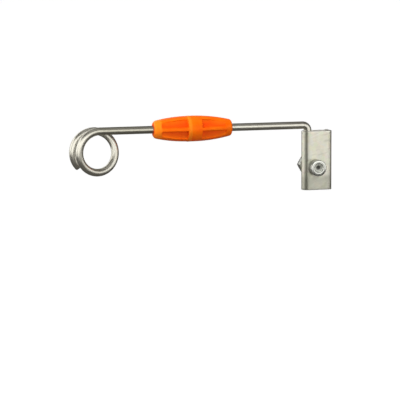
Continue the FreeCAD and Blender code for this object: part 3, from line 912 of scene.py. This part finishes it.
def galvanised_sheet():
    """Dull galvanised sheet: soft spangle, scratches, a darker lower part, dents, painted shade along the
    fold and bright sheared edges.
    """
    paint = Paint("galvanised_sheet")
    place = paint.place()
    spangle = paint.add("TexVoronoi", Vector=place, Scale=330.0, Randomness=1.0).outputs["Color"]
    cloud = paint.noise(place, 160.0, 4.0)
    grain = paint.noise(place, 2600.0, 3.0)
    scratches = paint.noise(paint.place((90, 2200, 2200), (0.0, 0.38, 0.0)), 1.0, 2.0, 0.5, 0.3)
    wiped = paint.noise(paint.place((500, 500, 60), (0.0, -0.12, 0.0)), 1.0, 3.0)
    colour = paint.blend(paint.spread(cloud, 0.3, 0.7), (0.72, 0.705, 0.58, 1), (0.82, 0.805, 0.68, 1))
    colour = paint.blend(0.14, colour, spangle, "SOFT_LIGHT")
    # The sheet darker towards the bottom, unevenly.
    height = paint.add("SeparateXYZ", Vector=place).outputs["Z"]
    uneven = paint.spread(cloud, 0.3, 0.7, -0.35, 0.35)
    darker_low = paint.maths("ADD", paint.spread(height, -0.004, -0.009), uneven)
    colour = paint.blend(paint.spread(darker_low, 0.0, 1.0, 0, 0.75), colour, (0.42, 0.42, 0.35, 1))
    line = paint.spread(scratches, 0.60, 0.70)
    colour = paint.blend(paint.maths("MULTIPLY", line, 0.4), colour, (0.93, 0.92, 0.86, 1))
    dents = paint.noise(paint.place((110, 420, 520), (0.0, 0.30, 0.0)), 1.0, 2.0)
    colour = paint.blend(paint.spread(dents, 0.56, 0.76, 0, 0.6), colour, (0.52, 0.50, 0.40, 1))
    colour = paint.blend(paint.spread(paint.read("wear"), 0.35, 1.0, 0, 0.7), colour, (0.84, 0.835, 0.81, 1))
    dull, grainy = paint.spread(wiped, 0.3, 0.7, 0.37, 0.47), paint.spread(grain, 0.3, 0.7, 0, 0.05)
    rough = paint.maths("ADD", dull, grainy)
    # Painted shade: a dark greenish band along the fold.
    colour = paint.blend(paint.spread(paint.read("fold_shade"), 0, 1, 0, 0.75), colour, (0.22, 0.23, 0.17, 1))
    paint.set(Base_Color=colour, Metallic=1.0, Roughness=rough)
    fine = paint.relief(grain, 0.00001, 0.4)
    scored = paint.relief(line, -0.00002, 0.6, fine)
    paint.set(Normal=paint.relief(cloud, 0.00006, 0.35, scored))
    return paint.material


def zinc_hardware():
    """Zinc plate: fine grain, a soft cloudiness, dark grime, painted shade at the bottom of the screw's
    socket, and dust that dulls the socket.
    """
    paint = Paint("zinc_hardware")
    place = paint.place()
    cloud = paint.noise(place, 420.0, 3.0)
    grain = paint.noise(place, 3200.0, 3.0)
    rings = paint.noise(paint.place((300, 2600, 300)), 1.0, 2.0)
    colour = paint.blend(paint.spread(cloud, 0.3, 0.7), (0.66, 0.67, 0.61, 1), (0.80, 0.81, 0.74, 1))
    # Dark grime, and painted shade at the bottom of the screw's socket.
    colour = paint.blend(paint.maths("MULTIPLY", paint.read("grime_and_shade"), 0.95), colour, (0.05, 0.05, 0.042, 1))
    rougher_grime_and_shade = paint.maths("MULTIPLY", paint.read("grime_and_shade"), 0.25)
    rough = paint.maths("ADD", paint.spread(cloud, 0.3, 0.7, 0.2, 0.32), rougher_grime_and_shade)
    metal = paint.spread(paint.read("dust"), 0.0, 1.0, 1.0, 0.1)
    paint.set(Base_Color=colour, Metallic=metal, Roughness=rough)
    fine = paint.relief(grain, 0.000008, 0.4)
    paint.set(Normal=paint.relief(rings, 0.00001, 0.3, fine))
    return paint.material


def stage_paint():
    """The floor: pale and matt, faintly uneven, and glowing a little so that it stays white."""
    paint = Paint("pale_floor")
    cloud = paint.noise(paint.place(), 3.0, 2.0)
    paint.set(Base_Color=paint.blend(cloud, (0.58, 0.58, 0.58, 1), (0.62, 0.62, 0.62, 1)), Roughness=0.9)
    paint.set(Specular_IOR_Level=0.1, Emission_Color=(1, 1, 1, 1), Emission_Strength=0.84)
    return paint.material


# --- stage, lights and camera ----------------------------------------------------------------------------

FLOOR_DROP = 0.45
COVE_FLAT = 2.2
COVE_CURVE = 1.2
COVE_TOP = 3.6
VIEW_DISTANCE = 1.5
VIEW_AZIMUTH = math.radians(15.5)
VIEW_ELEVATION = math.radians(7.4)
VIEW_ROLL = math.radians(0.3)
AIM_BELOW_MIDDLE = 0.0360
AIM_LEFT_OF_MIDDLE = 0.0037
LENS = 171.0

# Softboxes: degrees from the front towards -X, degrees up, distance, width and height in metres, radiance,
# and whether the metal reflects them.
SOFTBOXES = {
    "key": (110, 12, 1.7, 1.9, 1.5, 1.55, True),
    "front": (-10, 10, 1.7, 1.5, 1.5, 1.45, True),
    "right": (-52, 8, 1.7, 0.9, 1.2, 1.2, True),
    "top": (20, 75, 1.6, 1.4, 1.4, 0.35, True),
    "back": (165, 30, 1.9, 1.4, 1.2, 1.1, True),
    "wash": (50, 52, 1.5, 0.7, 0.7, 13.0, False),
    "bounce": (0, -60, 0.42, 0.9, 0.6, 0.27, False),
}
# The same for the small softbox that is close to the coil eye and faces it.
EYE_FILL = (42, 8, 0.12, 0.13, 0.12, 1.5, True)
ROOM_COLOUR = (1.0, 0.97, 0.93, 1)
ROOM_STRENGTH = 0.11


def make_cove(material):
    """A pale round floor that curves up into a wall all round."""
    level = cad_box[0][2] - FLOOR_DROP
    outline = [(0.02, level), (COVE_FLAT, level)]
    for angle in np.linspace(0, math.pi / 2, 16)[1:]:
        outline.append((COVE_FLAT + COVE_CURVE * math.sin(angle), level + COVE_CURVE * (1 - math.cos(angle))))
    outline.append((COVE_FLAT + COVE_CURVE, COVE_TOP))
    around = np.arange(96) * TURN / 96
    rings = []
    for radius, height in outline:
        level_ring = np.full_like(around, height)
        rings.append(np.stack([radius * np.cos(around), radius * np.sin(around), level_ring], -1))
    points, faces = skin(rings)
    mesh = bpy.data.meshes.new("floor")
    mesh.from_pydata(points.tolist(), [], faces[:-1])
    mesh.polygons.foreach_set("use_smooth", [True] * len(mesh.polygons))
    mesh.materials.append(material)
    floor = bpy.data.objects.new("floor", mesh)
    bpy.context.scene.collection.objects.link(floor)
    floor.visible_glossy = False
    floor.visible_diffuse = False


def add_softbox(name, middle, side, up, distance, width, height, radiance, reflected):
    """A soft rectangular light that faces the object."""
    light = bpy.data.lights.new(name, "AREA")
    light.shape = "RECTANGLE"
    light.size, light.size_y = width, height
    light.energy = radiance * math.pi * width * height
    lamp = bpy.data.objects.new(name, light)
    bpy.context.scene.collection.objects.link(lamp)
    side, up = math.radians(side), math.radians(up)
    out = Vector((-math.sin(side) * math.cos(up), -math.cos(side) * math.cos(up), math.sin(up)))
    lamp.location = middle + out * distance
    lamp.rotation_euler = (-out).to_track_quat("-Z", "Y").to_euler()
    lamp.visible_camera = False
    lamp.visible_glossy = reflected


def light_scene(middle):
    """Soft studio light: softboxes round the object, a small one close to the coil eye, and a dim room."""
    scene = bpy.context.scene
    scene.world = bpy.data.worlds.new("studio")
    scene.world.use_nodes = True
    background = scene.world.node_tree.nodes["Background"]
    background.inputs["Color"].default_value = ROOM_COLOUR
    background.inputs["Strength"].default_value = ROOM_STRENGTH
    for name, setting in SOFTBOXES.items():
        add_softbox(name, middle, *setting)
    eye = (EYE_LOW + Vector((EYE_LOW.x + 2 * EYE_RADIUS, EYE_HIGH.y, EYE_HIGH.z))) / 2
    add_softbox("eye_fill", eye, *EYE_FILL)
    scene.view_settings.view_transform = "Standard"


def add_camera(middle):
    """The camera, in front and a little to the left, aimed below the object's middle."""
    ahead = Vector((
        math.sin(VIEW_AZIMUTH) * math.cos(VIEW_ELEVATION),
        math.cos(VIEW_AZIMUTH) * math.cos(VIEW_ELEVATION),
        -math.sin(VIEW_ELEVATION),
    ))
    aim = Vector((middle.x - AIM_LEFT_OF_MIDDLE, ARM_Y, middle.z - AIM_BELOW_MIDDLE))
    data = bpy.data.cameras.new("camera")
    data.lens = LENS
    data.clip_end = 20
    camera = bpy.data.objects.new("camera", data)
    bpy.context.scene.collection.objects.link(camera)
    camera.location = aim - ahead * VIEW_DISTANCE
    level = ahead.to_track_quat("-Z", "Y").to_matrix()
    camera.rotation_euler = (level @ Matrix.Rotation(-VIEW_ROLL, 3, "Z")).to_euler()
    bpy.context.scene.camera = camera


def main():
    """Build every piece, the stage and the camera."""
    steel, orange, sheet, zinc = drawn_steel(), orange_plastic(), galvanised_sheet(), zinc_hardware()
    # The front rod's arm gets painted shade, reaching a little into the coil.
    shaded_to = eye_straight() + ARM_SHADE_INTO_COIL
    make_rod("eye_wire", eye_path, eye_length(), ROD_STEP, EYE_END_ROUNDING, shaded_to, "eye_rod", steel)
    make_rod("rear_bar", rear_path, rear_length(), ROD_STEP, REAR_END_ROUNDING, 0.0, "rear_rod", steel)
    make_insulator(orange)
    make_seam(orange)
    make_clamp(sheet)
    make_screw(zinc)
    make_flat_washer(zinc)
    make_spring_washer(zinc)
    make_nut(zinc)
    middle = (Vector(cad_box[0]) + Vector(cad_box[1])) / 2
    make_cove(stage_paint())
    light_scene(middle)
    add_camera(middle)


main()
